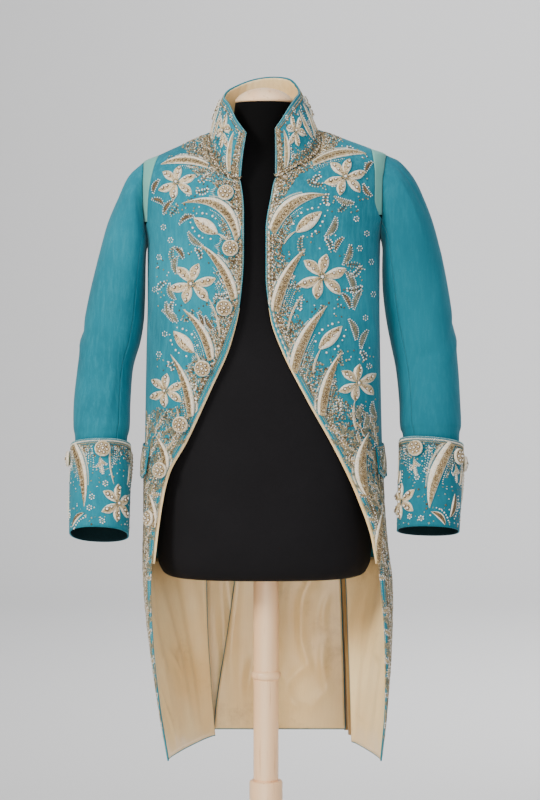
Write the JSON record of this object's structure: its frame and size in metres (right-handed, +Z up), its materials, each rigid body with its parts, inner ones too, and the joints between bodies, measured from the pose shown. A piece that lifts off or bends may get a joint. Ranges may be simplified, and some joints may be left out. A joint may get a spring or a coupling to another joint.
{
  "type": "embroidered court coat on a limbless dress form and stand",
  "caption": "Cutaway court coat in teal wool with raised floral embroidery, stand collar and deep cuffs, worn on a black limbless dress form with a turned wooden stand.",
  "frame": {"origin": "middle of the underside of the stand's base, which is the middle of the stand_base mount", "axes": "+Z up along the pole, -Y the way the coat's front faces, +X the wearer's left"},
  "size_m": [0.6792, 0.38, 1.5024],
  "materials": {
    "teal_wool": "matt wool broadcloth with a short nap",
    "cream_satin": "soft sheen silk satin",
    "pale_strip_silk": "dull silk",
    "gilt_embroidered_buttons": "gilt thread and cream silk over a domed mould",
    "black_jersey": "matt stretched jersey",
    "pale_wood": "satin varnish"
  },
  "bodies": {
    "root": {"front_right": "teal_wool", "front_left": "teal_wool", "front_button_1": "gilt_embroidered_buttons", "front_button_2": "gilt_embroidered_buttons", "front_button_3": "gilt_embroidered_buttons", "front_button_4": "gilt_embroidered_buttons", "front_button_5": "gilt_embroidered_buttons", "front_button_6": "gilt_embroidered_buttons", "front_button_7": "gilt_embroidered_buttons", "back_right": "teal_wool", "back_left": "teal_wool", "strip_front_right": "pale_strip_silk", "strip_back_right": "pale_strip_silk", "strip_front_left": "pale_strip_silk", "strip_back_left": "pale_strip_silk", "pleats_right": "teal_wool", "pleats_left": "teal_wool", "sleeve_upper_right": "teal_wool", "sleeve_under_right": "teal_wool", "sleeve_upper_left": "teal_wool", "sleeve_under_left": "teal_wool", "cuff_right": "teal_wool", "cuff_button_right_1": "gilt_embroidered_buttons", "cuff_button_right_2": "gilt_embroidered_buttons", "cuff_button_right_3": "gilt_embroidered_buttons", "cuff_left": "teal_wool", "cuff_button_left_1": "gilt_embroidered_buttons", "cuff_button_left_2": "gilt_embroidered_buttons", "cuff_button_left_3": "gilt_embroidered_buttons", "collar": "teal_wool", "collar_lining": "cream_satin", "lining_front_right": "cream_satin", "facing_right": "cream_satin", "lining_back_right": "cream_satin", "lining_front_left": "cream_satin", "facing_left": "cream_satin", "lining_back_left": "cream_satin", "flap_right": "teal_wool", "flap_left": "teal_wool", "form_torso": "black_jersey", "neck_cap": "pale_wood", "pole": "pale_wood", "socket": "pale_wood", "base": "pale_wood"}
  },
  "joints": []
}
